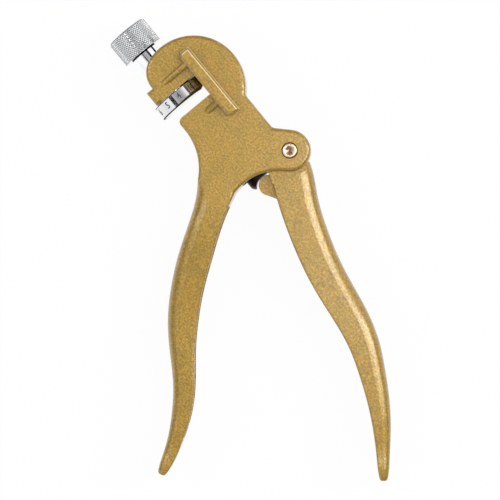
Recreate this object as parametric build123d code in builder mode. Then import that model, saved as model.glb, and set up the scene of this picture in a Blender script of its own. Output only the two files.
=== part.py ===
"""Pistol-grip saw set: a casting with a fixed handle, a squeeze lever, an anvil wheel that
turns to a chosen bevel, a sprung clamp plunger and the hammer that bends one tooth.

Frame: the tool lies on its side, +Z is across the tool and Z = 0 is its middle plane.
X is the anvil's axis, from the knurled screw towards the lever. Y is the depth of the saw
slot: the saw enters from -Y until its teeth meet the rest bars. The origin is the centre of
the anvil's front face. Lengths are millimetres, angles are degrees.
"""

import os
from math import acos, atan2, ceil, cos, degrees, pi, radians, sin, sqrt

from build123d import *

# Anvil wheel: a disc whose front rim has a cone bevel, off centre so that it varies round it
anvil_radius = 10.8
anvil_thickness = 5.9
anvil_hub_radius = 7.0
anvil_hub_height = 0.4
bevel_flat_radius = 9.6
bevel_offset = 1.1
bevel_angle = 30
anvil_front_web = 1.0

# Anvil screw: knurled knob, smooth neck that seats in the head, and threaded shank
screw_radius = 3.0
screw_thread_clearance = 0.05
screw_hole_clearance = 0.1
screw_end_gap = 0.5
knob_radius = 8.7
knob_length = 11.2
knob_chamfer = 1.1
knob_groove = 0.5
neck_radius = 6.0
neck_stand_out = 4.5
neck_clearance = 0.3

# Head of the casting, with its two jaws
casting_width = 20.0
head_radius = 20.7
head_x = -2.1
head_y = 6.7
upper_jaw_wall = 10.1
upper_jaw_drop = 6.3
lower_jaw_drop = 6.9
cheek_radius = 9.6
lip_width = 6.2
lip_drop = 3.0
saw_gap = 4.2
jaw_corner_radius = 2.4
casting_round = 1.4

# Saw rest: a bar on each side of the head, whose lower face meets the saw's teeth
tooth_line = 10.0
slot_end_clearance = 2.0
rest_depth = 5.3
rest_height = 5.0
rest_left = -15.6
rest_right = 16.7
rest_chamfer = 1.0
rest_edge_round = 0.25
rest_corner = 2.0
gusset_width = 2.8
gusset_height = 3.7
upper_gusset_x = -10.8
upper_gusset_tip = -2.7
lower_gusset_x = 8.8
lower_gusset_tip = 3.7

# Bridge, ears and crook between the handles
bridge_top = 20.6
bridge_top_end = 30.3
bridge_fillet = 3.0
ear_fillet = 2.5
pivot_x = 41.7
pivot_y = 20.1
ear_radius = 8.3
ear_thickness = 2.3
crook_x = 40.2
crook_radius = 22.5
heel_x = 9.0
heel_radius = 23.7
grip_lean = 50.4
neck_plane_lean = 30.5
clevis_wall_x = 35.5
clevis_floor_y = -3.2
boss_clearance = 0.6

# Plunger bores, along X at one height
plunger_y = 6.2
front_wall = 3.0
front_bore_clearance = 0.08
rear_bore_clearance = 0.1

# Clamp plunger, hammer and thrust cap
clamp_neck_radius = 5.42
clamp_recess = 0.3
clamp_front_wall = 3.5
clamp_flange_length = 4.0
clamp_bore_radius = 4.4
slide_radius = 7.5
hammer_width = 3.2
hammer_depth = 3.4
hammer_top = 10.2
hammer_recess = 0.34
hammer_collar_length = 3.5
hammer_collar_gap = 1.5
hammer_clearance = 0.1
stem_radius = 3.0
stem_fit = 0.02
cap_front_wall = 5.0
cap_lip_length = 2.7
cap_lip_round = 2.4
contact_gap = 0.2

# Springs: the return spring round the clamp's neck, the clamp spring behind its flange
return_spring_length = 9.8
return_wire = 1.3
return_turns = 3.5
clamp_spring_length = 10.0
clamp_wire = 1.5
clamp_turns = 4
clamp_spring_radius = 5.6
spring_seat_gap = 0.05

# Pivot pin, and the chamfer round its hole in each ear
pin_radius = 2.9
pin_stand_out = 0.3
pin_chamfer = 0.3
pin_dimple_radius = 1.7
pin_dimple_depth = 0.6
pin_countersink = 0.35
pin_fit = 0.02
pin_running_clearance = 0.06

# Lever: boss between the ears, nose that pushes the thrust cap, grip beyond a shoulder
lever_side_clearance = 0.3
lever_lean = 20.0
nose_x = 46.9
nose_y = 5.0
nose_radius = 4.2
nose_width = 8.0
nose_web_end = 16.7
lever_stroke = 17
shoulder_radius = 10.0
shoulder_offset = 10.4
lever_grip_width = 16.8

# Both grips: channels with a round back, open towards each other. The fixed grip's length is
# measured from the end of the heel arc, the lever's from the pivot.
fixed_grip_length = 116.2
lever_grip_length = 135.0
solid_tip_stations = 2
grip_wall = 2.2
grip_back_wall = 2.8
grip_rim_round = 0.7
grip_corner = 5.0
grip_middle_width = 14.0
grip_tip_width = 11.0
grip_tip_round = 1.7
channel_corner = 2.6

# Stations of each grip: share of its length, offset of its middle towards the other handle, depth
fixed_grip_shape = [
    (0.073, 5.75, 13.7),
    (0.155, 2.6, 12.6),
    (0.258, -1.2, 13.1),
    (0.37, -4.5, 12.8),
    (0.482, -6.3, 12.0),
    (0.594, -6.4, 10.1),
    (0.697, -5.8, 8.8),
    (0.792, -6.6, 7.9),
    (0.878, -8.8, 6.4),
    (0.947, -11.5, 5.4),
    (1.0, -14.2, 3.8),
]
lever_grip_shape = [
    (0.044, 2.5, 16.8),
    (0.148, 3.55, 15.8),
    (0.252, 3.95, 15.0),
    (0.356, 3.1, 14.5),
    (0.452, 1.0, 14.0),
    (0.541, -1.25, 13.2),
    (0.622, -2.0, 12.0),
    (0.704, -1.2, 10.4),
    (0.793, 0.45, 8.7),
    (0.874, 3.0, 6.9),
    (0.948, 6.1, 5.2),
    (1.0, 8.4, 3.6),
]

# Places that follow from the sizes above
half_width = casting_width / 2
upper_jaw_x = -anvil_thickness
screw_seat_x = upper_jaw_x - upper_jaw_wall
head_edge_x = head_x - sqrt(head_radius**2 - head_y**2)
knob_front_x = head_edge_x - neck_stand_out
slot_end_y = tooth_line + slot_end_clearance
clevis_half_gap = half_width - ear_thickness
tongue_half_width = clevis_half_gap - lever_side_clearance
rear_bore_x = saw_gap + front_wall
clamp_face_x = saw_gap + clamp_recess
clamp_flange_x = rear_bore_x + return_spring_length
clamp_end_x = clamp_flange_x + clamp_flange_length
cap_front_x = clamp_end_x + clamp_spring_length
cap_back_x = nose_x - nose_radius - contact_gap
clamp_bore_x = clamp_face_x + clamp_front_wall
hammer_tip_x = clamp_face_x + hammer_recess
collar_front_x = clamp_bore_x + hammer_collar_gap
collar_back_x = collar_front_x + hammer_collar_length
cap_top_y = pivot_y - ear_radius - boss_clearance / 2

os.makedirs("parts", exist_ok=True)


def finish(part, name):
    """Labels a finished piece and writes it to its file."""
    part.label = name
    export_step(part, f"parts/{name}.step")
    return part


def polar(centre, radius, angle):
    """The point at a radius and an angle round a centre."""
    return (centre[0] + radius * cos(radians(angle)), centre[1] + radius * sin(radians(angle)))


def grip_stations(length, shape):
    """A grip's stations with their distance along the grip in millimetres."""
    return [(share * length, offset, depth) for share, offset, depth in shape]


fixed_grip = grip_stations(fixed_grip_length, fixed_grip_shape)
lever_grip = grip_stations(lever_grip_length, lever_grip_shape)
fixed_channel_end = len(fixed_grip) - 1 - solid_tip_stations
lever_channel_end = len(lever_grip) - 1 - solid_tip_stations

# Corners of the casting's outline that follow from tangent circles
pivot = (pivot_x, pivot_y)
crook_reach = crook_radius + ear_radius
crook_centre_x = crook_x + crook_radius
crook_centre_y = pivot_y - sqrt(crook_reach**2 - (crook_centre_x - pivot_x) ** 2)
crook_angle = degrees(atan2(crook_centre_y - pivot_y, crook_centre_x - pivot_x))
ear_end = polar(pivot, ear_radius, crook_angle)
slope_angle = degrees(atan2(bridge_top - pivot_y, bridge_top_end - pivot_x))
slope_reach = sqrt((bridge_top - pivot_y) ** 2 + (bridge_top_end - pivot_x) ** 2)
ear_start = polar(pivot, ear_radius, slope_angle - degrees(acos(ear_radius / slope_reach)))
ear_tip = polar(pivot, ear_radius, 15)
heel_centre = (heel_x, -lower_jaw_drop - heel_radius)
heel_end = polar(heel_centre, heel_radius, 90 - grip_lean)
neck_dir = polar((0, 0), 1, neck_plane_lean)
crook_offset_x = heel_end[0] - crook_centre_x
crook_offset_y = heel_end[1] - crook_centre_y
neck_mid = crook_offset_x * neck_dir[0] + crook_offset_y * neck_dir[1]
neck_gap = crook_offset_x**2 + crook_offset_y**2 - crook_radius**2
neck_depth = -neck_mid - sqrt(neck_mid**2 - neck_gap)
neck_end = polar(heel_end, neck_depth, neck_plane_lean)
neck_centre = polar(heel_end, neck_depth / 2, neck_plane_lean)


def casting_outline():
    """Side view of the casting down to the plane where its handle starts."""
    with BuildSketch(Plane.XY) as outline:
        with Locations((head_x, head_y)):
            Circle(head_radius)
        with Locations((head_x, -upper_jaw_drop)):
            Rectangle(
                3 * head_radius, 2 * head_radius, align=(Align.CENTER, Align.MAX), mode=Mode.SUBTRACT
            )
        fillet(outline.vertices().sort_by(Axis.X)[0], cheek_radius)
        with Locations((upper_jaw_x, head_y)):
            Rectangle(lip_width, head_y + upper_jaw_drop + lip_drop, align=(Align.MAX, Align.MAX))
        with BuildLine():
            underside = Line((upper_jaw_x, -lower_jaw_drop), (heel_x, -lower_jaw_drop))
            heel = JernArc(underside @ 1, underside % 1, heel_radius, -grip_lean)
            neck = Line(heel @ 1, neck_end)
            crook = ThreePointArc(neck @ 1, (crook_x, crook_centre_y), ear_end)
            ear = ThreePointArc(crook @ 1, ear_tip, ear_start)
            Polyline(
                ear @ 1, (bridge_top_end, bridge_top), (upper_jaw_x, bridge_top), underside @ 0
            )
        make_face()
        head_end_x = head_x + sqrt(head_radius**2 - (bridge_top - head_y) ** 2)
        fillet(outline.vertices().sort_by_distance((head_end_x, bridge_top))[0], bridge_fillet)
        fillet(outline.vertices().sort_by_distance((bridge_top_end, bridge_top))[0], ear_fillet)
    return outline.sketch


def slot_outline():
    """The saw slot with the anvil's space, and the round corner of the lower jaw."""
    bottom = -2 * head_radius
    jaw_bottom = -lower_jaw_drop
    with BuildSketch(Plane.XY) as slot:
        with BuildLine():
            wall = Line((saw_gap, slot_end_y), (saw_gap, jaw_bottom + jaw_corner_radius))
            corner = JernArc(wall @ 1, (0, -1), jaw_corner_radius, 90)
            Polyline(
                corner @ 1,
                (saw_gap + jaw_corner_radius, bottom),
                (upper_jaw_x, bottom),
                (upper_jaw_x, slot_end_y),
                wall @ 0,
            )
        make_face()
    return slot.sketch


def rest_bar(side):
    """One rest bar and its two gussets; side is 1 on the +Z face and -1 on the other."""
    with BuildPart() as bar:
        with BuildSketch(Plane.XY.offset(side * half_width)):
            with Locations((rest_left, tooth_line)):
                Rectangle(rest_right - rest_left, rest_depth, align=(Align.MIN, Align.MIN))
        extrude(amount=side * rest_height)
        low_corners = bar.edges().filter_by(Axis.Z).group_by(Axis.Y)[0]
        fillet(low_corners, rest_corner)
        outer = -1 if side > 0 else 0
        top = bar.faces().sort_by(Axis.Z)[outer]
        back = top.edges().filter_by(Axis.X).sort_by(Axis.Y)[-1]
        end = top.edges().filter_by(Axis.Y).sort_by(Axis.X)[0]
        chamfer([back, end], rest_chamfer)
        top = bar.faces().sort_by(Axis.Z)[outer]
        back_face = bar.faces().sort_by(Axis.Y)[-1]
        chamfer_foot = back_face.edges().filter_by(Axis.X).sort_by(Axis.Z)[outer]
        fillet(top.edges() + [chamfer_foot], rest_edge_round)
    return bar.part


def gusset(side, x, tip):
    """A rib with a round back that rises from the jaw's face at its tip to the rest bar."""
    round_radius = gusset_width / 2
    run = tooth_line - tip
    slope = sqrt(run**2 + gusset_height**2)
    with BuildPart() as rib:
        with BuildSketch(Plane.XZ.offset(-tooth_line)):
            with Locations((x, side * (half_width + gusset_height - round_radius))):
                Circle(round_radius)
                side_down = (Align.CENTER, Align.MAX if side > 0 else Align.MIN)
                Rectangle(gusset_width, gusset_height, align=side_down)
        down_slope = (0, -run / slope, -side * gusset_height / slope)
        extrude(amount=slope + gusset_width, dir=down_slope)
    return rib.part


def grip_planes(origin, angle, inward, stations):
    """Planes square to a grip's centre line. Local X points at the other handle."""
    along = Vector(cos(radians(angle)), sin(radians(angle)), 0)
    across = Vector(cos(radians(angle + inward)), sin(radians(angle + inward)), 0)
    middles = [Vector(*origin) + along * down + across * offset for down, offset, _ in stations]
    planes = []
    for index, middle in enumerate(middles):
        before = middles[max(index - 1, 0)]
        after = middles[min(index + 1, len(middles) - 1)]
        tangent = (after - before).normalized()
        sideways = across - tangent * across.dot(tangent)
        planes.append(Plane(origin=middle, x_dir=sideways.normalized(), z_dir=tangent))
    return planes


def grip_slice(plane, depth, width, corner, rim):
    """One cross-section of a grip: round corners at the back, small rounds at the open side."""
    with BuildSketch(plane) as section:
        Rectangle(depth, width)
        sides = section.vertices().group_by(Axis.X)
        fillet(sides[0], min(corner, 0.46 * depth, 0.46 * width))
        fillet(section.vertices().group_by(Axis.X)[-1], min(rim, 0.2 * depth))
    return section.sketch


def channel_slice(plane, depth, width):
    """The hollow in one cross-section of a grip: a channel that is open at the front."""
    inner_depth = depth - grip_back_wall
    inner_width = width - 2 * grip_wall
    open_by = depth
    with BuildSketch(plane) as section:
        with Locations((depth / 2 - inner_depth, 0)):
            Rectangle(inner_depth + open_by, inner_width, align=(Align.MIN, Align.CENTER))
        corner = min(channel_corner, 0.8 * inner_depth, 0.45 * inner_width)
        fillet(section.vertices().group_by(Axis.X)[0], corner)
    return section.sketch


def grip_width(stations, index, root_width):
    """Width of a grip at a station: from the root to the middle width, then to the tip's."""
    start = stations[0][0]
    middle = (stations[0][0] + stations[-1][0]) / 2
    down = stations[index][0]
    if down < middle:
        share = (down - start) / (middle - start)
        blend = share * share * (3 - 2 * share)
        return root_width + (grip_middle_width - root_width) * blend
    share = (down - middle) / (stations[-1][0] - middle)
    return grip_middle_width + (grip_tip_width - grip_middle_width) * share


def grip_loft(first, planes, stations, root_width):
    """The outside of a grip, through its stations, with a tip that closes on a quarter circle."""
    slices = [
        grip_slice(
            plane, station[2], grip_width(stations, index, root_width), grip_corner, grip_rim_round
        )
        for index, (plane, station) in enumerate(zip(planes, stations))
    ]
    for share in (0.6, 0.92):
        inset = 2 * grip_tip_round * (1 - sqrt(1 - share**2))
        plane = planes[-1].offset(grip_tip_round * share)
        depth = stations[-1][2] - inset
        slices.append(grip_slice(plane, depth, grip_tip_width - inset, grip_corner, grip_rim_round))
    with BuildPart() as grip:
        loft(first + slices)
    return grip.part


def channel_loft(planes, stations, root_width, first, last):
    """The hollow of a grip, from one of its stations to another."""
    slices = [
        channel_slice(planes[index], stations[index][2], grip_width(stations, index, root_width))
        for index in range(first, last + 1)
    ]
    with BuildPart() as channel:
        loft(slices)
    return channel.part


def coil(start_x, length, radius, wire, turns):
    """An open spring along X at the plungers' height: one tube, two tangent arcs per quarter turn."""
    quarters = ceil(4 * turns)
    pitch = (length - wire - 2 * spring_seat_gap) * 4 / quarters
    first_x = start_x + spring_seat_gap + wire / 2

    def place(quarter):
        angle = quarter * pi / 2
        return Vector(
            first_x + pitch * quarter / 4, plunger_y + radius * cos(angle), radius * sin(angle)
        )

    def heading(quarter):
        angle = quarter * pi / 2
        return Vector(pitch / (2 * pi), -radius * sin(angle), radius * cos(angle)).normalized()

    with BuildPart() as spring:
        with BuildLine() as path:
            for quarter in range(quarters):
                here, there = place(quarter), place(quarter + 1)
                out, arrive = heading(quarter), heading(quarter + 1)
                chord = there - here
                run = chord.dot(out + arrive)
                spread = 2 - 2 * out.dot(arrive)
                reach = (sqrt(run**2 + spread * chord.dot(chord)) - run) / spread
                before = here + out * reach
                after = there - arrive * reach
                meeting = (before + after) * 0.5
                TangentArc(here, meeting, tangent=out)
                TangentArc(meeting, there, tangent=after - before)
        with BuildSketch(Plane(origin=place(0), z_dir=heading(0))) as wire_end:
            Circle(wire / 2)
        sweep(wire_end.sketch, path=path.line)
    print(f"coil of wire {wire}: least gap between its turns {pitch - wire:.2f} mm")
    return spring.part


# Casting: plate with jaws, bridge and ears, then the grip, rests, bores and clevis
with BuildPart() as body_casting:
    add(casting_outline())
    extrude(amount=half_width, both=True)
    neck_normal = Vector(*neck_dir).rotate(Axis.Z, 90)
    rims = body_casting.edges().filter_by(
        lambda edge: abs(abs(edge.center().Z) - half_width) < 0.01
        and abs((edge.center() - Vector(*neck_centre)).dot(neck_normal)) > 0.01
    )
    fillet(rims, casting_round)
    neck_face = body_casting.faces().sort_by_distance(neck_centre)[0]
    fixed_planes = grip_planes(heel_end, grip_lean - 90, 90, fixed_grip)
    add(grip_loft([neck_face], fixed_planes, fixed_grip, casting_width))
    add(
        channel_loft(fixed_planes, fixed_grip, casting_width, 0, fixed_channel_end),
        mode=Mode.SUBTRACT,
    )
    # saw slot, which the rest bars bridge
    add(slot_outline())
    extrude(amount=casting_width, both=True, mode=Mode.SUBTRACT)
    for side in (1, -1):
        add(rest_bar(side))
        add(gusset(side, upper_gusset_x, upper_gusset_tip))
        add(gusset(side, lower_gusset_x, lower_gusset_tip))
    # hole and counterbore for the anvil screw
    with BuildSketch(Plane.YZ.offset(upper_jaw_x)):
        Circle(screw_radius + screw_hole_clearance)
    extrude(amount=-upper_jaw_wall, mode=Mode.SUBTRACT)
    with BuildSketch(Plane.YZ.offset(screw_seat_x)):
        Circle(neck_radius + neck_clearance)
    extrude(amount=-head_radius, mode=Mode.SUBTRACT)
    # plunger bores: narrow at the jaw's face, wide behind it
    with BuildSketch(Plane.YZ.offset(saw_gap)):
        with Locations((plunger_y, 0)):
            Circle(clamp_neck_radius + front_bore_clearance)
    extrude(amount=front_wall, mode=Mode.SUBTRACT)
    with BuildSketch(Plane.YZ.offset(rear_bore_x)):
        with Locations((plunger_y, 0)):
            Circle(slide_radius + rear_bore_clearance)
    extrude(amount=clevis_wall_x - rear_bore_x, mode=Mode.SUBTRACT)
    # clevis between the ears, with room for the lever's boss
    with BuildSketch(Plane.XY):
        with Locations((clevis_wall_x, clevis_floor_y)):
            Rectangle(3 * ear_radius, 6 * ear_radius, align=(Align.MIN, Align.MIN))
        with Locations(pivot):
            Circle(ear_radius + boss_clearance)
    extrude(amount=clevis_half_gap, both=True, mode=Mode.SUBTRACT)
    with BuildSketch(Plane.XY):
        with Locations(pivot):
            Circle(pin_radius + pin_fit)
    extrude(amount=casting_width, both=True, mode=Mode.SUBTRACT)
    pin_hole_rims = body_casting.edges().filter_by(GeomType.CIRCLE).filter_by(
        lambda edge: abs(edge.radius - pin_radius - pin_fit) < 0.001
        and abs(abs(edge.center().Z) - half_width) < 0.001
    )
    chamfer(pin_hole_rims, pin_countersink)

finish(body_casting.part, "body_casting")

# Anvil wheel: back hub, blind threaded hole and the off-centre bevel
with BuildPart() as anvil_wheel:
    hub_x = upper_jaw_x + anvil_hub_height
    thread_radius = screw_radius + screw_thread_clearance
    with BuildSketch(Plane.XY):
        with BuildLine():
            Polyline(
                (upper_jaw_x, thread_radius),
                (upper_jaw_x, anvil_hub_radius),
                (hub_x, anvil_hub_radius),
                (hub_x, anvil_radius),
                (0, anvil_radius),
                (0, 0),
                (-anvil_front_web, 0),
                (-anvil_front_web, thread_radius),
                close=True,
            )
        make_face()
    revolve(axis=Axis.X)
    bevel_reach = anvil_radius + 2 * bevel_offset - bevel_flat_radius
    bevel_edge = bevel_flat_radius + bevel_reach
    bevel_back = -bevel_reach * sin(radians(bevel_angle)) / cos(radians(bevel_angle))
    with BuildSketch(Plane.XY.shift_origin((0, -bevel_offset, 0))):
        with BuildLine():
            Polyline(
                (0, 0),
                (0, bevel_flat_radius),
                (bevel_back, bevel_edge),
                (2 * upper_jaw_x, bevel_edge),
                (2 * upper_jaw_x, 0),
                close=True,
            )
        make_face()
    revolve(axis=Axis((0, -bevel_offset, 0), (1, 0, 0)), mode=Mode.INTERSECT)

finish(anvil_wheel.part, "anvil_wheel")

# Anvil screw: turned in one piece
with BuildPart() as anvil_screw:
    shank_end_x = -anvil_front_web - screw_end_gap
    knob_back_x = knob_front_x - knob_length
    with BuildSketch(Plane.XY):
        with BuildLine():
            Polyline(
                (knob_back_x, 0),
                (knob_back_x, knob_radius - knob_chamfer),
                (knob_back_x + knob_chamfer, knob_radius),
                (knob_front_x - knob_groove, knob_radius),
                (knob_front_x, knob_radius - knob_groove),
                (knob_front_x, neck_radius),
                (screw_seat_x, neck_radius),
                (screw_seat_x, screw_radius),
                (shank_end_x - screw_radius / 4, screw_radius),
                (shank_end_x, 3 * screw_radius / 4),
                (shank_end_x, 0),
                close=True,
            )
        make_face()
    revolve(axis=Axis.X)

finish(anvil_screw.part, "anvil_screw")

# Pivot pin: plain, with a chamfer and a staked dimple at each end
with BuildPart() as pivot_pin:
    pin_end_z = half_width + pin_stand_out
    with BuildSketch(Plane(origin=(pivot_x, pivot_y, 0), x_dir=(1, 0, 0), z_dir=(0, -1, 0))):
        with BuildLine():
            Polyline(
                (0, 0),
                (pin_radius, 0),
                (pin_radius, pin_end_z - pin_chamfer),
                (pin_radius - pin_chamfer, pin_end_z),
                (pin_dimple_radius, pin_end_z),
                (0, pin_end_z - pin_dimple_depth),
                close=True,
            )
        make_face()
    revolve(axis=Axis((pivot_x, pivot_y, 0), (0, 0, 1)))
    mirror(about=Plane.XY)

finish(pivot_pin.part, "pivot_pin")

# Clamp plunger: neck that meets the saw, flange that slides in the wide bore, hammer's window
with BuildPart() as clamp_plunger:
    with BuildSketch(Plane.YZ.offset(clamp_face_x)):
        with Locations((plunger_y, 0)):
            Circle(clamp_neck_radius)
    extrude(amount=clamp_flange_x - clamp_face_x)
    chamfer(clamp_plunger.edges().sort_by(Axis.X)[0], clamp_recess)
    with BuildSketch(Plane.YZ.offset(clamp_flange_x)):
        with Locations((plunger_y, 0)):
            Circle(slide_radius)
    extrude(amount=clamp_flange_length)
    with BuildSketch(Plane.YZ.offset(clamp_end_x)):
        with Locations((plunger_y, 0)):
            Circle(clamp_bore_radius)
    extrude(amount=clamp_bore_x - clamp_end_x, mode=Mode.SUBTRACT)
    with BuildSketch(Plane.YZ.offset(clamp_face_x)):
        with Locations((hammer_top - hammer_depth / 2, 0)):
            Rectangle(hammer_depth + 2 * hammer_clearance, hammer_width + 2 * hammer_clearance)
    extrude(amount=clamp_front_wall, mode=Mode.SUBTRACT)

finish(clamp_plunger.part, "clamp_plunger")

# Hammer: blade in the plunger's window, collar in its bore, stem back to the thrust cap
with BuildPart() as hammer:
    with BuildSketch(Plane.YZ.offset(hammer_tip_x)):
        with Locations((hammer_top - hammer_depth / 2, 0)):
            Rectangle(hammer_depth, hammer_width)
    extrude(amount=collar_front_x - hammer_tip_x)
    with BuildSketch(Plane.YZ.offset(collar_front_x)):
        with Locations((plunger_y, 0)):
            Circle(clamp_bore_radius - hammer_clearance)
    extrude(amount=hammer_collar_length)
    with BuildSketch(Plane.YZ.offset(collar_back_x)):
        with Locations((plunger_y, 0)):
            Circle(stem_radius)
    extrude(amount=cap_front_x + cap_front_wall - stem_fit - collar_back_x)

finish(hammer.part, "hammer")

# Thrust cap: socket for the stem, flat that clears the lever's boss, trough for its nose.
# The nose swings about the pivot, so it stands lowest in the trough at the end of the stroke.
with BuildPart() as thrust_cap:
    nose_reach = sqrt((nose_x - pivot_x) ** 2 + (nose_y - pivot_y) ** 2)
    nose_angle = degrees(atan2(nose_y - pivot_y, nose_x - pivot_x))
    low_nose_y = polar(pivot, nose_reach, nose_angle - lever_stroke)[1]
    cap_end_x = cap_back_x + cap_lip_length
    with BuildSketch(Plane.YZ.offset(cap_front_x)):
        with Locations((plunger_y, 0)):
            Circle(slide_radius)
    extrude(amount=cap_end_x - cap_front_x)
    fillet(thrust_cap.edges().sort_by(Axis.X)[-1], cap_lip_round)
    with BuildSketch(Plane.YZ.offset(cap_front_x)):
        with Locations((plunger_y, 0)):
            Circle(stem_radius + stem_fit)
    extrude(amount=cap_front_wall, mode=Mode.SUBTRACT)
    with BuildSketch(Plane.XY):
        with Locations((clevis_wall_x, cap_top_y)):
            Rectangle(2 * slide_radius, slide_radius, align=(Align.MIN, Align.MIN))
        with Locations((cap_back_x, low_nose_y)):
            Rectangle(2 * slide_radius, 2 * slide_radius, align=(Align.MIN, Align.MIN))
        with Locations((nose_x, low_nose_y)):
            Circle(nose_x - cap_back_x)
    extrude(amount=slide_radius, both=True, mode=Mode.SUBTRACT)

finish(thrust_cap.part, "thrust_cap")

# Lever: grip, tongue that is thin enough for the clevis, boss, nose and pin hole
with BuildPart() as lever_casting:
    lever_planes = grip_planes(pivot, -lever_lean, -90, lever_grip)
    add(grip_loft([], lever_planes, lever_grip, lever_grip_width))
    add(
        channel_loft(lever_planes, lever_grip, lever_grip_width, 1, lever_channel_end),
        mode=Mode.SUBTRACT,
    )
    lever_x_dir = (cos(radians(lever_lean)), -sin(radians(lever_lean)), 0)
    for side in (1, -1):
        cheek = Plane(origin=(pivot_x, pivot_y, side * tongue_half_width), x_dir=lever_x_dir)
        with BuildSketch(cheek):
            Circle(shoulder_radius)
            with Locations((shoulder_offset, 0)):
                Rectangle(2 * shoulder_radius, 3 * shoulder_radius, align=(Align.MAX, Align.MAX))
        extrude(amount=side * lever_grip_width, mode=Mode.SUBTRACT)
    with BuildSketch(Plane.XY):
        with Locations(pivot):
            Circle(ear_radius)
    extrude(amount=tongue_half_width, both=True)
    fixed_side = Plane(origin=(pivot_x, pivot_y, 0), x_dir=lever_x_dir)
    root_start, root_offset, root_depth = lever_grip[0]
    tongue_front = -root_offset - root_depth / 2
    with BuildSketch(Plane.XY):
        with Locations((nose_x, nose_y)):
            Circle(nose_radius)
        with BuildLine():
            web_back = fixed_side.from_local_coords((root_start, tongue_front + nose_radius, 0))
            web_far = fixed_side.from_local_coords((nose_web_end, tongue_front, 0))
            Polyline(
                (nose_x - nose_radius, nose_y),
                (web_back.X, web_back.Y),
                (web_far.X, web_far.Y),
                polar((nose_x, nose_y), nose_radius, -70),
                close=True,
            )
        make_face()
    extrude(amount=nose_width / 2, both=True)
    with BuildSketch(Plane.XY):
        with Locations(pivot):
            Circle(pin_radius + pin_running_clearance)
    extrude(amount=casting_width, both=True, mode=Mode.SUBTRACT)

finish(lever_casting.part, "lever_casting")

# Springs
return_spring_radius = (clamp_neck_radius + slide_radius) / 2
finish(
    coil(rear_bore_x, return_spring_length, return_spring_radius, return_wire, return_turns),
    "return_spring",
)
finish(
    coil(clamp_end_x, clamp_spring_length, clamp_spring_radius, clamp_wire, clamp_turns),
    "clamp_spring",
)
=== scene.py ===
"""Looks of a pistol-grip saw set: gold castings, knurled chrome screw, numbered anvil wheel,
staked pin, plunger, hammer and springs, in a plain pale studio.

Frame: metres, +X along the anvil's axis from the knob to the lever, +Y into the saw slot,
+Z across the tool. The origin is the centre of the anvil's front face.
"""

import math

import bpy
import numpy as np
from mathutils import Matrix, Vector


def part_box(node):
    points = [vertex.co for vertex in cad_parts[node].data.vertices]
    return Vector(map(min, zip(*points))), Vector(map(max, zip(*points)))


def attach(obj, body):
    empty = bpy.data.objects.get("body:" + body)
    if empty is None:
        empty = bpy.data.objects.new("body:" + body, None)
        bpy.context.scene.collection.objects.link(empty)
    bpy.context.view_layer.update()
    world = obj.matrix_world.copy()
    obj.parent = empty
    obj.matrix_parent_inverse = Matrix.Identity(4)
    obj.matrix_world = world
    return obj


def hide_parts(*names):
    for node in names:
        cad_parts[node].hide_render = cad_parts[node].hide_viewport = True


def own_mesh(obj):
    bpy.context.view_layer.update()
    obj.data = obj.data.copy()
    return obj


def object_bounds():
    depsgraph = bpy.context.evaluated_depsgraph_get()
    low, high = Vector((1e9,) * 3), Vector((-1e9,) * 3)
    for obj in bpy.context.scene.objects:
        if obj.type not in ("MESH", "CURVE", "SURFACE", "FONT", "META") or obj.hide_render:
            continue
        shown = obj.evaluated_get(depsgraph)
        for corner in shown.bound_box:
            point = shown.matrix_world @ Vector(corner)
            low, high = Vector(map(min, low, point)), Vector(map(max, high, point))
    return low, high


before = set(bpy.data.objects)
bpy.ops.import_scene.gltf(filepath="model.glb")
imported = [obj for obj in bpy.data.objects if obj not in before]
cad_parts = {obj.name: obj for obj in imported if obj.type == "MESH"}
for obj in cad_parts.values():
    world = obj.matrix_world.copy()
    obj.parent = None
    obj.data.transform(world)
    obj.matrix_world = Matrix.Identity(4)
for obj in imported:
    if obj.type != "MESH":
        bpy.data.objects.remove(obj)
cad_low, cad_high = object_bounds()

MM = 0.001

# Camera: straight above the tool, which lies on its side, turned so that the grips point down
VIEW_CENTRE = Vector((61.9, -17.5, 0)) * MM
VIEW_WIDTH = 200 * MM
VIEW_ROLL = 50.4
VIEW_TILT = 2.0
CAMERA_DISTANCE = 1.5
CAMERA_REACH = 10
SENSOR_WIDTH = 36

# Knob of the anvil screw, turned on X
KNOB_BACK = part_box("anvil_screw")[0].x
KNOB_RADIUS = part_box("anvil_screw")[1].y
KNOB_LENGTH = 11.2 * MM
KNOB_CHAMFER = 1.0 * MM
KNOB_FRONT_CHAMFER = 0.2 * MM
KNURL_COUNT = 58
KNURL_DEPTH = 0.3 * MM
KNURL_TOP = 0.62
KNURL_ANGLE = 32
KNURL_STEPS = 10

# Hollow in the middle of the knob's back face: depth and radius of its corners, in mm
KNOB_HOLLOW = ((0.25, 2.2), (0.25, 2.6), (0, 3.2))

# Painted shade on the knob: dark in the grooves, darker where they cross, and a painted dark line
# where they run out at the back
GROOVE_SHADE = 0.6
CROSSING_SHADE = 0.4
RUN_OUT_SHADE = 0.7
RUN_OUT_MIDDLE = 0.6 * KNOB_CHAMFER
RUN_OUT_REACH = 0.4 * KNOB_CHAMFER
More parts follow.
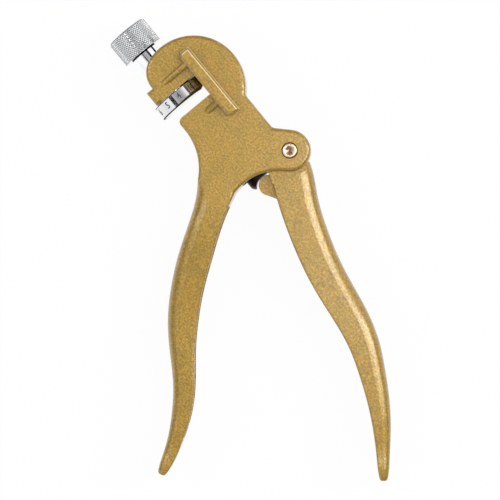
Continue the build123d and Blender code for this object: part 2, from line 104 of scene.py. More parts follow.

# Neck and shank of the anvil screw, on X. The neck starts inside the knob, with a painted shadow
# in the corner under the knob
NECK_RADIUS = 6.0 * MM
NECK_ROOT = 0.4 * MM
NECK_GROOVE = 0.35 * MM
NECK_GROOVE_WIDTH = 0.55 * MM
NECK_GROOVE_SLOPE = 0.15 * MM
NECK_CHAMFER = 0.3 * MM
NECK_SHADOW_ROWS = 2
SEAT_X = -16.0 * MM
SHANK_RADIUS = 3.0 * MM
SHANK_COLUMNS = 96
SCREW_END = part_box("anvil_screw")[1].x
SCREW_POINT_LENGTH = 0.8 * MM
SCREW_POINT_CUT = 0.6 * MM
THREAD_PITCH = 1.0 * MM
THREAD_DEPTH = 0.5 * MM
THREAD_FAINT = 0.1
THREAD_START = 2.0 * MM
THREAD_RISE = 1.0 * MM
THREAD_STEPS = 10

# Anvil wheel: its rim, and painted dark bands along both edges of it, a painted reflection at the
# front and a painted shadow at the back
ANVIL_RADIUS = 10.8 * MM
ANVIL_MIDDLE_X = -3.0 * MM
ANVIL_BACK_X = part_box("anvil_wheel")[0].x
RIM_RADII = (10.0 * MM, 10.2 * MM)
RIM_FRONT_REFLECTION = (0.4 * MM, 0.55 * MM)
RIM_BACK_SHADOW = (0.6 * MM, 0.75 * MM)

# Numbers on the anvil's rim
DIAL_NUMBERS = ("4", "5", "6", "7", "8", "9", "10", "11", "12", "14", "16")
DIAL_HEIGHT = 2.7 * MM
DIAL_BOLDER = 0.07 * MM
DIAL_SINK = 0.05 * MM
DIAL_PROUD = 0.02 * MM
DIAL_NARROW = 0.8
DIAL_SPACING = 0.9
DIGIT_SHARE = 0.7

# Pivot pin, and its staked end from the middle outwards: share of the radius, and height from
# its top in mm. The dimple wanders inside a share of the radius
PIVOT = Vector((41.7, 20.1, 0)) * MM
PIN_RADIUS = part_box("pivot_pin")[1].x - PIVOT.x
PIN_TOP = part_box("pivot_pin")[1].z
PIN_COLUMNS = 72
PIN_END = (
    (0.12, -0.55),
    (0.3, -0.50),
    (0.45, -0.28),
    (0.6, -0.08),
    (0.67, 0.0),
    (0.8, 0.0),
    (0.9, -0.03),
    (0.95, -0.12),
    (0.985, -0.25),
    (1.0, -0.45),
)
PIN_DIMPLE_SHARE = 0.75
# Painted shadow in a ring on the paint round the pin, and the worn middle of the pin's end: each
# from and to distance from the pivot
PIN_JOINT = (3.0 * MM, 3.5 * MM)
PIN_WORN = (0.4 * MM, 2.4 * MM)

# Rest bars: painted highlights along both ridges of their chamfers, at the back and at the left,
# as the axes counted and a point on the ridge
REST_TOP_Z = 15 * MM
REST_BACK_Y = 15.3 * MM
REST_LEFT_X = -15.6 * MM
RIDGE_IN = 0.95 * MM
RIDGE_DOWN = 1.05 * MM
REST_RIDGES = (
    ((0, 1, 1), (0, REST_BACK_Y - RIDGE_IN, REST_TOP_Z)),
    ((0, 1, 1), (0, REST_BACK_Y, REST_TOP_Z - RIDGE_DOWN)),
    ((1, 0, 1), (REST_LEFT_X + RIDGE_IN, 0, REST_TOP_Z)),
    ((1, 0, 1), (REST_LEFT_X, 0, REST_TOP_Z - RIDGE_DOWN)),
)
# Width of the painted highlight lines on the ridges: full, and faded out
HIGHLIGHT_WIDTH = (0.14 * MM, 0.3 * MM)

# Springs, round the plungers' axis: mean radius, wire, turns, the end that stays, and the share
# of the length that is left at the end of the stroke
PLUNGER_Y = 6.2 * MM
RETURN_SPRING = {
    "radius": 6.46 * MM,
    "wire": 1.3 * MM,
    "turns": 3.5,
    "fixed_x": 7.2 * MM,
    "keep": 0.63,
}
CLAMP_SPRING = {
    "radius": 5.6 * MM,
    "wire": 1.5 * MM,
    "turns": 4,
    "fixed_x": 31 * MM,
    "keep": 0.895,
}
COIL_STEPS = 64
WIRE_COLUMNS = 20

# Floor: half its side, the gap under the tool, and the share that is plain white to the camera
FLOOR_HALF = 3.0
FLOOR_GAP = 0.2 * MM
FLOOR_WHITE = 0.95

# Room light by height, and the white paper by distance from the anvil's axis and by height
ROOM_HEIGHTS = (0.05, 0.75)
ROOM_STRENGTHS = (0.28, 0.4)
PAPER_WIDTHS = (0.05, 0.2)
PAPER_HEIGHTS = (0.84, 0.97)
PAPER_STRENGTH = 0.62

# Soft boxes: place to the right, up and out in the picture, width and length, and power
RIGHT_BOX = ((0.52, 0.1, 0.87), (0.26, 1.2), 5.2)
LEFT_BOX = ((-0.6, 0.25, 0.8), (0.3, 0.9), 1.8)

# Cloths that the polished parts mirror: spans along X in mm, distance, and their black
NECK_SPAN = (-41, -25)
RIM_SPAN = (-17, -8)
CLOTH_DISTANCE = 0.15
BLACK = (0.004, 0.004, 0.004)


def srgb(red, green, blue):
    """A colour from 0 to 255 as the linear values that a shader takes."""
    shares = np.array([red, green, blue]) / 255
    return tuple(np.where(shares <= 0.04045, shares / 12.92, ((shares + 0.055) / 1.055) ** 2.4))


def add_mesh(name, points, faces, smooth_angle=40):
    """A mesh object from arrays of points and faces, smooth but for edges past an angle."""
    mesh = bpy.data.meshes.new(name)
    mesh.from_pydata(points.reshape(-1, 3).tolist(), [], faces)
    mesh.update()
    mesh.shade_smooth()
    mesh.set_sharp_from_angle(angle=math.radians(smooth_angle))
    piece = bpy.data.objects.new(name, mesh)
    bpy.context.scene.collection.objects.link(piece)
    return piece


def tube_faces(rows, columns, first):
    """Faces of a closed tube of points, row after row, with one fan point beyond each end. The
    points are counted from the first."""
    row = np.arange(rows - 1)[:, None] * columns
    here = np.arange(columns)[None, :]
    there = (here + 1) % columns
    quads = np.stack(
        [row + here, row + there, row + columns + there, row + columns + here], axis=-1
    ).reshape(-1, 4)
    start, end = rows * columns, rows * columns + 1
    last = (rows - 1) * columns
    around = np.arange(columns)
    beyond = (around + 1) % columns
    first_fan = np.stack([np.full(columns, start), beyond, around], axis=-1)
    last_fan = np.stack([np.full(columns, end), last + around, last + beyond], axis=-1)
    return [
        list(face)
        for part in (quads, first_fan, last_fan)
        for face in (part + first).tolist()
    ]


def tube(rows_of_points, first=0):
    """Points and faces of a closed tube. Its ends are closed on the middle of their rows."""
    rows, columns, _ = rows_of_points.shape
    ends = np.stack([rows_of_points[0].mean(axis=0), rows_of_points[-1].mean(axis=0)])
    points = np.concatenate([rows_of_points.reshape(-1, 3), ends])
    return points, tube_faces(rows, columns, first)


def turned_on_x(x, radius):
    """Rows of points round X: x is one value a row, radius one value a row and column.
    A point is (x, radius cos(angle), radius sin(angle))."""
    columns = radius.shape[1]
    angle = 2 * np.pi * np.arange(columns) / columns
    along = np.broadcast_to(x[:, None], radius.shape)
    return np.stack([along, radius * np.cos(angle), radius * np.sin(angle)], axis=-1)


def plainly_turned(x, radius, columns):
    """Rows of points round X, with one x and one radius a row."""
    return turned_on_x(x, np.broadcast_to(radius[:, None], (len(x), columns)))


def zigzag(phase):
    """A wave of period 1 that runs straight from 1 down to 0 and straight back."""
    return np.abs(2 * (phase - np.floor(phase)) - 1)


def knob_rows():
    """The knob: radius = outline less the knurl, which is the deeper of two sets of helical
    grooves, zigzag(count * turn + x / lead) and zigzag(count * turn - x / lead), with flat
    tops. Also gives the painted shade of each point, from 0 to 1: dark in the grooves, darker
    where they cross, and a dark line where they run out at the back."""
    groove_pitch = 2 * np.pi * KNOB_RADIUS / KNURL_COUNT
    lead = groove_pitch / math.tan(math.radians(KNURL_ANGLE))
    columns = KNURL_COUNT * KNURL_STEPS
    front_corner = KNOB_LENGTH - KNOB_FRONT_CHAMFER
    corners = [RUN_OUT_MIDDLE, KNOB_CHAMFER, front_corner, KNOB_LENGTH]
    x = np.unique(np.concatenate([np.arange(0, KNOB_LENGTH, lead / KNURL_STEPS), corners]))
    turn = np.arange(columns) / columns
    left = zigzag(KNURL_COUNT * turn[None, :] + x[:, None] / lead)
    right = zigzag(KNURL_COUNT * turn[None, :] - x[:, None] / lead)
    grooves = np.clip((np.maximum(left, right) - KNURL_TOP) / (1 - KNURL_TOP), 0, 1)
    crossings = np.clip(2 * np.minimum(left, right) - 1, 0, 1)
    chamfers = np.maximum(np.maximum(KNOB_CHAMFER - x, x - front_corner), 0)
    radius = np.minimum(KNOB_RADIUS - chamfers[:, None], KNOB_RADIUS - KNURL_DEPTH * grooves)
    depth, hollow_radius = np.array(KNOB_HOLLOW).T * MM
    hollow = plainly_turned(KNOB_BACK + depth, hollow_radius, columns)
    cut_share = np.clip(1 - chamfers / KNURL_DEPTH, 0, 1)[:, None]
    run_out = np.clip(1 - np.abs(x - RUN_OUT_MIDDLE) / RUN_OUT_REACH, 0, 1)[:, None]
    # Painted shade: grooves dark, crossings darker, and a painted dark line where the knurl runs
    # out
    knurl_shade = (GROOVE_SHADE * grooves + CROSSING_SHADE * crossings) * cut_share
    knob_shade = np.maximum(knurl_shade, RUN_OUT_SHADE * run_out)
    no_shade = np.zeros((len(KNOB_HOLLOW), columns))
    return (
        np.concatenate([hollow, turned_on_x(KNOB_BACK + x, radius)]),
        np.concatenate([no_shade, knob_shade]),
    )


def shank_rows():
    """Neck and shank: a turned outline, whose radius past the neck is the shank's less a thread
    of depth * zigzag(x / pitch - turn), faint at first, and less the cut of its point."""
    groove_end = KNOB_BACK + KNOB_LENGTH + NECK_GROOVE_WIDTH
    neck = np.array(
        [
            (KNOB_BACK + KNOB_LENGTH - NECK_ROOT, NECK_RADIUS - NECK_GROOVE),
            (groove_end - NECK_GROOVE_SLOPE, NECK_RADIUS - NECK_GROOVE),
            (groove_end, NECK_RADIUS),
            (SEAT_X - NECK_CHAMFER, NECK_RADIUS),
            (SEAT_X, NECK_RADIUS - NECK_CHAMFER),
        ]
    )
    x = np.arange(SEAT_X, SCREW_END, THREAD_PITCH / THREAD_STEPS)
    turn = np.arange(SHANK_COLUMNS) / SHANK_COLUMNS
    thread = zigzag(x[:, None] / THREAD_PITCH - turn[None, :])
    full = np.clip((x - SEAT_X - THREAD_START) / THREAD_RISE, 0, 1)
    depth = THREAD_DEPTH * (THREAD_FAINT + (1 - THREAD_FAINT) * full)
    point_cut = SCREW_POINT_CUT * np.clip(1 - (SCREW_END - x) / SCREW_POINT_LENGTH, 0, 1)
    radius = SHANK_RADIUS - depth[:, None] * thread - point_cut[:, None]
    return np.concatenate(
        [plainly_turned(neck[:, 0], neck[:, 1], SHANK_COLUMNS), turned_on_x(x, radius)]
    )


def anvil_screw():
    """The screw in one mesh: knurled knob, and the neck and shank that start inside it. Its
    shade attribute is the knob's painted shade, and 1 for a painted shadow in the corner between
    the knob and the neck."""
    rows, knob_shade = knob_rows()
    knob_points, knob_faces = tube(rows)
    shank_points, shank_faces = tube(shank_rows(), first=len(knob_points))
    points = np.concatenate([knob_points, shank_points])
    piece = add_mesh("anvil_screw_turned", points, knob_faces + shank_faces, smooth_angle=30)
    painted_shade = np.zeros(len(points), np.float32)
    painted_shade[: knob_shade.size] = knob_shade.ravel()
    corner = len(knob_points)
    # Painted shadow: the first rows of the neck, in the corner under the knob, are fully dark
    painted_shade[corner : corner + NECK_SHADOW_ROWS * SHANK_COLUMNS] = 1
    piece.data.attributes.new("painted_shade", "FLOAT", "POINT").data.foreach_set("value", painted_shade)
    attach(piece, "screw")
    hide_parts("anvil_screw")
    return piece


def flat_number(text):
    """A number as a thin flat mesh, with the XY plane in its middle."""
    curve = bpy.data.curves.new("dial_text", "FONT")
    curve.body = text
    curve.size = DIAL_HEIGHT / DIGIT_SHARE
    curve.align_x = "CENTER"
    curve.align_y = "CENTER"
    curve.extrude = (DIAL_SINK + DIAL_PROUD) / 2
    curve.resolution_u = 4
    curve.space_character = DIAL_SPACING
    curve.offset = DIAL_BOLDER
    sample = bpy.data.objects.new("dial_text", curve)
    mesh = bpy.data.meshes.new_from_object(sample)
    bpy.data.objects.remove(sample)
    return mesh


def dial_number(text, angle, material):
    """One number on the anvil's rim, wrapped on the cylinder: a point's angle is across / radius,
    its radius is the rim's plus its height, and its top points back along X."""
    mesh = flat_number(text)
    flat = np.zeros(len(mesh.vertices) * 3)
    mesh.vertices.foreach_get("co", flat)
    across, up, out = flat.reshape(-1, 3).T
    around = angle + across * DIAL_NARROW / ANVIL_RADIUS
    radius = ANVIL_RADIUS + out + (DIAL_PROUD - DIAL_SINK) / 2
    wrapped = np.stack(
        [ANVIL_MIDDLE_X - up, radius * np.sin(around), radius * np.cos(around)], axis=-1
    )
    mesh.vertices.foreach_set("co", wrapped.ravel())
    mesh.update()
    piece = bpy.data.objects.new(f"dial_number_{text}", mesh)
    mesh.name = piece.name
    bpy.context.scene.collection.objects.link(piece)
    mesh.materials.clear()
    mesh.materials.append(material)
    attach(piece, "anvil")


def pivot_pin():
    """The staked pin: a turned outline whose dimple wanders, by the radius times
    0.07 sin(3 angle + 1) + 0.05 sin(7 angle), and less so towards the rim."""
    outline = np.array(PIN_END) * (PIN_RADIUS, MM)
    angle = 2 * np.pi * np.arange(PIN_COLUMNS) / PIN_COLUMNS
    wander = 0.07 * np.sin(3 * angle + 1) + 0.05 * np.sin(7 * angle)
    share = np.clip(1 - outline[:, :1] / (PIN_DIMPLE_SHARE * PIN_RADIUS), 0, 1)
    radius = outline[:, :1] * (1 + share * wander)
    x = PIVOT.x + radius * np.cos(angle)
    y = PIVOT.y + radius * np.sin(angle)
    z = np.broadcast_to(PIN_TOP + outline[:, 1:], radius.shape)
    top = np.stack([x, y, z], axis=-1)
    bottom = np.stack([x, y, -z], axis=-1)[::-1]
    points, faces = tube(np.concatenate([top, bottom])[::-1])
    piece = add_mesh("pivot_pin_staked", points, faces)
    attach(piece, "body")
    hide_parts("pivot_pin")
    return piece


def coil(name, start, length, radius, wire, turns):
    """A coil along X: centre (start + wire / 2 + pitch * turn, radius cos, radius sin), and a
    circle of half the wire across it."""
    turn = np.linspace(0, turns, int(COIL_STEPS * turns) + 1)
    angle = 2 * np.pi * turn
    pitch = (length - wire) / turns
    outward = np.stack([np.zeros_like(angle), np.cos(angle), np.sin(angle)], axis=-1)
    centre = radius * outward + np.array([start + wire / 2, PLUNGER_Y, 0])
    centre[:, 0] += pitch * turn
    rise = np.full_like(angle, pitch / (2 * np.pi))
    tangent = np.stack([rise, -radius * np.sin(angle), radius * np.cos(angle)], axis=-1)
    tangent /= np.linalg.norm(tangent, axis=1, keepdims=True)
    side = np.cross(tangent, outward)
    around = 2 * np.pi * np.arange(WIRE_COLUMNS) / WIRE_COLUMNS
    ring = (
        outward[:, None, :] * np.cos(around)[None, :, None]
        + side[:, None, :] * np.sin(around)[None, :, None]
    )
    points, faces = tube(centre[:, None, :] + ring * wire / 2)
    return add_mesh(name, points, faces, smooth_angle=60)


def wound_spring(node, body, sizes, steel):
    """A coil in the place of a CAD spring and as long as it, hung on the empty of the body that
    it moves with.
    """
    low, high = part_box(node)
    piece = coil(
        f"{node}_wound", low.x, high.x - low.x, sizes["radius"], sizes["wire"], sizes["turns"]
    )
    piece.data.materials.append(steel)
    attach(piece, body)
    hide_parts(node)
    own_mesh(piece)


def new_material(name, color, metallic, roughness):
    """A material with its shader's plain values set, its node tree and its shader."""
    material = bpy.data.materials.new(name)
    material.use_nodes = True
    shader = material.node_tree.nodes["Principled BSDF"]
    shader.inputs["Base Color"].default_value = (*color, 1)
    shader.inputs["Metallic"].default_value = metallic
    shader.inputs["Roughness"].default_value = roughness
    return material, material.node_tree, shader


def noise(tree, scale, detail=2, stretch=(1, 1, 1)):
    """A noise pattern on Object coordinates, with its scale in patterns a metre."""
    mapping = tree.nodes.new("ShaderNodeMapping")
    mapping.inputs["Scale"].default_value = stretch
    pattern = tree.nodes.new("ShaderNodeTexNoise")
    pattern.inputs["Scale"].default_value = scale
    pattern.inputs["Detail"].default_value = detail
    tree.links.new(object_place(tree), mapping.inputs["Vector"])
    tree.links.new(mapping.outputs["Vector"], pattern.inputs["Vector"])
    return pattern.outputs["Fac"]


def ramp(tree, value, *stops):
    """A colour ramp over a value; stops are (place, colour)."""
    node = tree.nodes.new("ShaderNodeValToRGB")
    while len(node.color_ramp.elements) < len(stops):
        node.color_ramp.elements.new(0.5)
    for element, (place, color) in zip(node.color_ramp.elements, stops):
        element.position = place
        element.color = (*color, 1)
    tree.links.new(value, node.inputs["Fac"])
    return node.outputs["Color"]


def mixed(tree, factor, first, second, blend="MIX"):
    """Two colours mixed by a factor, which is a number or a socket."""
    node = tree.nodes.new("ShaderNodeMix")
    node.data_type = "RGBA"
    node.blend_type = blend
    if isinstance(factor, float):
        node.inputs[0].default_value = factor
    else:
        tree.links.new(factor, node.inputs[0])
    tree.links.new(first, node.inputs[6])
    tree.links.new(second, node.inputs[7])
    return node.outputs[2]


def object_place(tree):
    """The place on the object, in its own frame."""
    return tree.nodes.new("ShaderNodeTexCoord").outputs["Object"]


def reach_from(tree, place, axes, point):
    """Distance of a place from a point, counted along the given axes only."""
    kept = tree.nodes.new("ShaderNodeVectorMath")
    kept.operation = "MULTIPLY"
    kept.inputs[1].default_value = axes
    tree.links.new(place, kept.inputs[0])
    reach = tree.nodes.new("ShaderNodeVectorMath")
    reach.operation = "DISTANCE"
    reach.inputs[1].default_value = point
    tree.links.new(kept.outputs["Vector"], reach.inputs[0])
    return reach.outputs["Value"]


def ranged(tree, value, limits, results):
    """A value moved from one range to another, held at its ends."""
    node = tree.nodes.new("ShaderNodeMapRange")
    names = ("From Min", "From Max", "To Min", "To Max")
    for name, number in zip(names, (*limits, *results)):
        node.inputs[name].default_value = number
    tree.links.new(value, node.inputs["Value"])
    return node.outputs["Result"]


def combined(tree, operation, first, second=None):
    """Two values added, multiplied or otherwise joined by a Math node, or one value changed."""
    node = tree.nodes.new("ShaderNodeMath")
    node.operation = operation
    tree.links.new(first, node.inputs[0])
    if second:
        tree.links.new(second, node.inputs[1])
    return node.outputs[0]


def bumped(tree, shader, *heights):
    """Bumps laid over each other; heights are (socket, strength, depth in metres)."""
    normal = None
    for height, strength, depth in heights:
        node = tree.nodes.new("ShaderNodeBump")
        node.inputs["Strength"].default_value = strength
        node.inputs["Distance"].default_value = depth
        tree.links.new(height, node.inputs["Height"])
        if normal:
            tree.links.new(normal, node.inputs["Normal"])
        normal = node.outputs["Normal"]
    tree.links.new(normal, shader.inputs["Normal"])


def rest_ridge_highlights(tree, place):
    """Share of painted highlight along the ridges of the rest bars' chamfers, on both sides."""
    parts = tree.nodes.new("ShaderNodeSeparateXYZ")
    tree.links.new(place, parts.inputs[0])
    height = combined(tree, "ABSOLUTE", parts.outputs["Z"])
    folded = tree.nodes.new("ShaderNodeCombineXYZ")
    for axis, part in zip("XYZ", (parts.outputs["X"], parts.outputs["Y"], height)):
        tree.links.new(part, folded.inputs[axis])
    share = None
    for axes, ridge in REST_RIDGES:
        reach = reach_from(tree, folded.outputs[0], axes, ridge)
        line = ranged(tree, reach, HIGHLIGHT_WIDTH, (1, 0))
        share = combined(tree, "MAXIMUM", share, line) if share else line
    return share


def gold_paint():
    """Metallic gold enamel on a casting: fine flake, soft clouds of tone, a sand skin under a
    clear coat, painted highlights along the rest bars' edges, and a painted shadow round the pin."""
    material, tree, shader = new_material(
        "gold_paint_skin", srgb(178, 141, 54), metallic=0.44, roughness=0.42
    )
    place = object_place(tree)
    flake = noise(tree, scale=1300, detail=3)
    tones = ramp(
        tree,
        flake,
        (0.34, srgb(154, 116, 22)),
        (0.5, srgb(174, 137, 34)),
        (0.66, srgb(194, 158, 56)),
    )
    clouds = ramp(
        tree,
        noise(tree, scale=190, detail=4),
        (0.36, srgb(235, 237, 224)),
        (0.5, srgb(249, 248, 241)),
        (0.64, srgb(255, 248, 238)),
    )
    enamel = mixed(tree, 0.9, tones, clouds, "MULTIPLY")
    # Painted shadow: a dark ring on the enamel in the gap round the pin
    joint = ranged(tree, reach_from(tree, place, (1, 1, 0), PIVOT), PIN_JOINT, (1, 0))
    grime_and_shade = ramp(tree, joint, (0.0, srgb(255, 255, 255)), (1.0, srgb(96, 66, 44)))
    worn = mixed(tree, 1.0, enamel, grime_and_shade, "MULTIPLY")
    painted_highlight = ramp(tree, flake, (0.3, srgb(246, 218, 150)), (0.7, srgb(255, 240, 190)))
    # Painted highlight: pale lines along the rest bars' chamfer ridges
    color = mixed(tree, rest_ridge_highlights(tree, place), worn, painted_highlight)
    tree.links.new(color, shader.inputs["Base Color"])
    rough = ranged(tree, flake, (0.35, 0.65), (0.48, 0.36))
    tree.links.new(rough, shader.inputs["Roughness"])
    sand = noise(tree, scale=700)
    skin = noise(tree, scale=1500)
    bumped(tree, shader, (sand, 0.6, 0.15 * MM), (skin, 0.35, 0.07 * MM))
    shader.inputs["Coat Weight"].default_value = 1.0
    shader.inputs["Coat Roughness"].default_value = 0.2
    shader.inputs["Coat IOR"].default_value = 1.65
    return material


def chrome_plate():
    """Bright chrome, duller and darker where the shade attribute says so: painted shade in the
    knurl and a painted shadow under the knob.
    """
    material, tree, shader = new_material(
        "chrome_plate_bright", srgb(232, 233, 236), metallic=1.0, roughness=0.06
    )
    painted_shade = tree.nodes.new("ShaderNodeAttribute")
    painted_shade.attribute_name = "painted_shade"
    # Painted shade from the attribute: grey in the grooves, black at crossings and in the painted
    # shadow under the knob
    color = ramp(
        tree,
        painted_shade.outputs["Fac"],
        (0.0, srgb(252, 253, 254)),
        (0.2, srgb(240, 241, 243)),
        (0.5, srgb(150, 151, 154)),
        (0.8, srgb(10, 10, 12)),
    )
    tree.links.new(color, shader.inputs["Base Color"])
    polish = ranged(tree, noise(tree, scale=400, detail=3), (0.3, 0.7), (0.04, 0.1))
    dull = ranged(tree, painted_shade.outputs["Fac"], (0.05, 0.25), (0, 0.4))
    tree.links.new(combined(tree, "ADD", polish, dull), shader.inputs["Roughness"])
    return material


def anvil_steel():
    """Plated and polished steel with fine turning rings, and painted dark bands along both edges
    of the rim: a painted reflection at the front and a painted shadow at the back.
    """
    material, tree, shader = new_material(
        "anvil_steel_polished", srgb(226, 226, 228), metallic=1.0, roughness=0.1
    )
    place = object_place(tree)
    from_front = reach_from(tree, place, (1, 0, 0), (0, 0, 0))
    from_back = reach_from(tree, place, (1, 0, 0), (ANVIL_BACK_X, 0, 0))
    from_axis = reach_from(tree, place, (0, 1, 1), (0, 0, 0))
    # Painted dark bands on the rim: painted reflection at the front edge, painted shadow at the
    # back edge
    front = ranged(tree, from_front, RIM_FRONT_REFLECTION, (1, 0))
    back = ranged(tree, from_back, RIM_BACK_SHADOW, (1, 0))
    rim = ranged(tree, from_axis, RIM_RADII, (0, 1))
    painted_rim_dark = combined(tree, "MULTIPLY", rim, combined(tree, "MAXIMUM", front, back))
    color = ramp(tree, painted_rim_dark, (0.0, srgb(232, 232, 234)), (1.0, srgb(22, 21, 21)))
    tree.links.new(color, shader.inputs["Base Color"])
    rings = noise(tree, scale=1200, stretch=(6, 1, 1))
    polish = ranged(tree, rings, (0.3, 0.7), (0.04, 0.1))
    dull = ranged(tree, painted_rim_dark, (0, 1), (0, 0.35))
    tree.links.new(combined(tree, "ADD", polish, dull), shader.inputs["Roughness"])
    bumped(tree, shader, (rings, 0.08, 0.02 * MM))
    return material


def pin_nickel():
    """Nickel on the pin, worn to a reddish brown in the middle of its staked end."""
    material, tree, shader = new_material(
        "pin_nickel_staked", srgb(232, 216, 186), metallic=1.0, roughness=0.3
    )
    reach = reach_from(tree, object_place(tree), (1, 1, 0), PIVOT)
    grime_and_shade = noise(tree, scale=1600, detail=3)
    shift = ranged(tree, grime_and_shade, (0.3, 0.7), (-0.5 * MM, 0.5 * MM))
    share = ranged(tree, combined(tree, "ADD", reach, shift), PIN_WORN, (0, 1))
    color = ramp(
        tree,
        share,
        (0.0, srgb(116, 82, 72)),
        (0.45, srgb(186, 146, 124)),
        (0.85, srgb(238, 220, 188)),
    )
    tree.links.new(color, shader.inputs["Base Color"])
    bumped(tree, shader, (grime_and_shade, 0.3, 0.08 * MM))
    return material


def turned_steel(name, color, roughness):
    """Turned or ground steel, with fine tool marks and a thin film of oil."""
    material, tree, shader = new_material(name, color, metallic=1.0, roughness=roughness)
    marks = noise(tree, scale=700, detail=3, stretch=(5, 1, 1))
    oiled = tuple(0.6 * share for share in color)
    tree.links.new(ramp(tree, marks, (0.3, oiled), (0.6, color)), shader.inputs["Base Color"])
    rough = ranged(tree, marks, (0.3, 0.7), (roughness * 0.8, roughness * 1.3))
    tree.links.new(rough, shader.inputs["Roughness"])
    bumped(tree, shader, (marks, 0.15, 0.03 * MM))
    return material


def stamped_ink():
    """Dark fill in the numbers stamped on the anvil's rim."""
    material, tree, shader = new_material(
        "stamped_number_fill", srgb(46, 46, 50), metallic=0.3, roughness=0.5
    )
    speck = noise(tree, scale=3000)
    color = ramp(tree, speck, (0.4, srgb(36, 36, 40)), (0.65, srgb(92, 92, 98)))
    tree.links.new(color, shader.inputs["Base Color"])
    return material


def dress(name, material):
    """Gives a CAD node a material, in every slot that it has."""
    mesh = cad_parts[name].data
    if not mesh.materials:
        mesh.materials.append(material)
    for index in range(len(mesh.materials)):
        mesh.materials[index] = material


def studio_floor():
    """A plain pale floor under the tool, at the height of its lower rest bar. What the camera,
    metal and glass see of it is mostly plain white, with a faint shadow of the tool."""
    sides = ((-1, -1), (1, -1), (1, 1), (-1, 1))
    height = cad_low.z - FLOOR_GAP
    corners = np.array([(FLOOR_HALF * x, FLOOR_HALF * y, height) for x, y in sides])
    ground = add_mesh("studio_floor", corners, [[0, 1, 2, 3]])
    material, tree, shader = new_material(
        "studio_floor_paint", (0.9, 0.9, 0.9), metallic=0.0, roughness=0.9
    )
    fibre = noise(tree, scale=40, detail=3)
    paint = ramp(tree, fibre, (0.3, (0.92, 0.92, 0.92)), (0.7, (0.94, 0.94, 0.94)))
    tree.links.new(paint, shader.inputs["Base Color"])
    shader.inputs["Specular IOR Level"].default_value = 0.1
    white = tree.nodes.new("ShaderNodeEmission")
    path = tree.nodes.new("ShaderNodeLightPath")
    seen = path.outputs["Is Camera Ray"]
    for ray in ("Is Glossy Ray", "Is Transmission Ray"):
        seen = combined(tree, "MAXIMUM", seen, path.outputs[ray])
    blend = tree.nodes.new("ShaderNodeMixShader")
    tree.links.new(ranged(tree, seen, (0, 1), (0, FLOOR_WHITE)), blend.inputs["Fac"])
    tree.links.new(shader.outputs[0], blend.inputs[1])
    tree.links.new(white.outputs[0], blend.inputs[2])
    tree.links.new(blend.outputs[0], tree.nodes["Material Output"].inputs["Surface"])
    ground.data.materials.append(material)


def picture_axes():
    """The directions to the right and up in the picture, and out towards the camera."""
    roll = Matrix.Rotation(math.radians(VIEW_ROLL), 3, "Z")
    tilt = Matrix.Rotation(math.radians(VIEW_TILT), 3, "Y")
    return roll @ tilt


def camera():
    """The photograph's view, from above."""
    turn = picture_axes()
    place = VIEW_CENTRE + turn @ Vector((0, 0, CAMERA_DISTANCE))
    data = bpy.data.cameras.new("camera")
    data.sensor_width = SENSOR_WIDTH
    data.lens = SENSOR_WIDTH * CAMERA_DISTANCE / VIEW_WIDTH
    data.clip_end = CAMERA_REACH
    eye = bpy.data.objects.new("camera", data)
    eye.matrix_world = Matrix.Translation(place) @ turn.to_4x4()
    bpy.context.scene.collection.objects.link(eye)
    bpy.context.scene.camera = eye


def soft_box(name, place, size, power):
    """A long soft box, turned towards the middle of the view."""
    light = bpy.data.lights.new(name, "AREA")
    light.energy = power
    light.shape = "RECTANGLE"
    light.size, light.size_y = size
    out = picture_axes() @ Vector(place)
    turn = (-out).to_track_quat("-Z", "Y").to_matrix().to_4x4()
    box = bpy.data.objects.new(name, light)
    box.matrix_world = Matrix.Translation(VIEW_CENTRE + out) @ turn
    bpy.context.scene.collection.objects.link(box)


def room_light():
    """Room light that is weaker low down than overhead, but for white paper that rises on both
    sides of the anvil's axis."""
    world = bpy.data.worlds.new("studio")
    bpy.context.scene.world = world
    world.use_nodes = True
    tree = world.node_tree
    background = tree.nodes["Background"]
    background.inputs["Color"].default_value = (1, 1, 1, 1)
    place = tree.nodes.new("ShaderNodeTexCoord")
    parts = tree.nodes.new("ShaderNodeSeparateXYZ")
    tree.links.new(place.outputs["Generated"], parts.inputs[0])
    across, height = parts.outputs["X"], parts.outputs["Z"]
    room = ranged(tree, height, ROOM_HEIGHTS, ROOM_STRENGTHS)
    flank = ranged(tree, combined(tree, "MULTIPLY", across, across), PAPER_WIDTHS, (1, 0))
    low = ranged(tree, height, PAPER_HEIGHTS, (PAPER_STRENGTH, 0))
    strength = combined(tree, "ADD", room, combined(tree, "MULTIPLY", flank, low))
    tree.links.new(strength, background.inputs["Strength"])


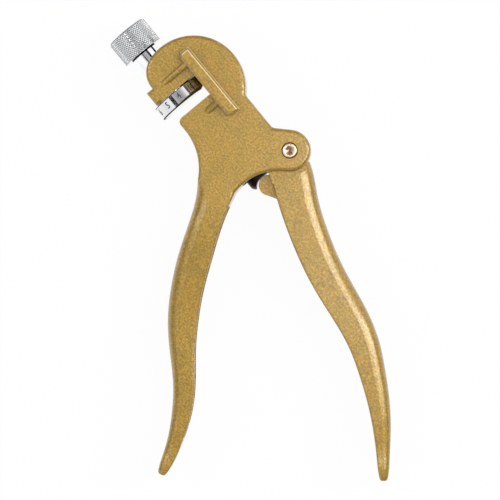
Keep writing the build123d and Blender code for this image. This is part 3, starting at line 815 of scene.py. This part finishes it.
def card(name, angle, width, span, color=BLACK):
    """A strip of cloth that only shows in reflections: at an angle from +Z towards +Y, as wide
    as an angle, and along X over a span, both seen from the anvil's axis."""
    out = Vector((0, math.sin(math.radians(angle)), math.cos(math.radians(angle))))
    side = Vector((0, out.z, -out.y))
    middle = out * CLOTH_DISTANCE
    across = side * CLOTH_DISTANCE * math.radians(width) / 2
    start, end = Vector((span[0], 0, 0)) * MM, Vector((span[1], 0, 0)) * MM
    corners = np.array(
        [
            middle + start - across,
            middle + end - across,
            middle + end + across,
            middle + start + across,
        ]
    )
    strip = add_mesh(name, corners, [[0, 1, 2, 3]])
    material, _, shader = new_material(name + "_cloth", color, metallic=0.0, roughness=1.0)
    shader.inputs["Specular IOR Level"].default_value = 0.0
    strip.data.materials.append(material)
    strip.visible_camera = False
    strip.visible_diffuse = False
    strip.visible_shadow = False
    strip.visible_transmission = False


camera()
room_light()
soft_box("right_box", *RIGHT_BOX)
soft_box("left_box", *LEFT_BOX)
studio_floor()
card("neck_card_upper", angle=29, width=16, span=NECK_SPAN)
card("neck_card_side", angle=83, width=19, span=NECK_SPAN)
card("neck_card_lower", angle=-13, width=8, span=NECK_SPAN, color=srgb(40, 36, 38))
card("anvil_card_lower", angle=-31, width=17, span=RIM_SPAN)
card("anvil_card_upper", angle=55, width=34, span=RIM_SPAN, color=srgb(92, 66, 44))

gold = gold_paint()
dress("body_casting", gold)
dress("lever_casting", gold)
dress("anvil_wheel", anvil_steel())
dress("clamp_plunger", turned_steel("plunger_steel_turned", srgb(180, 180, 184), roughness=0.3))
dress("hammer", turned_steel("hammer_steel_ground", srgb(160, 160, 166), roughness=0.25))
dress("thrust_cap", turned_steel("black_oxide_skin", srgb(38, 38, 42), roughness=0.35))
anvil_screw().data.materials.append(chrome_plate())
pivot_pin().data.materials.append(pin_nickel())
oiled_steel = turned_steel("spring_steel_oiled", srgb(120, 120, 126), roughness=0.35)
wound_spring("return_spring", "body", RETURN_SPRING, oiled_steel)
wound_spring("clamp_spring", "hammer", CLAMP_SPRING, oiled_steel)
ink = stamped_ink()
for place, number in enumerate(DIAL_NUMBERS):
    dial_number(number, -2 * math.pi * place / len(DIAL_NUMBERS), ink)

bpy.context.scene.view_settings.view_transform = "Standard"
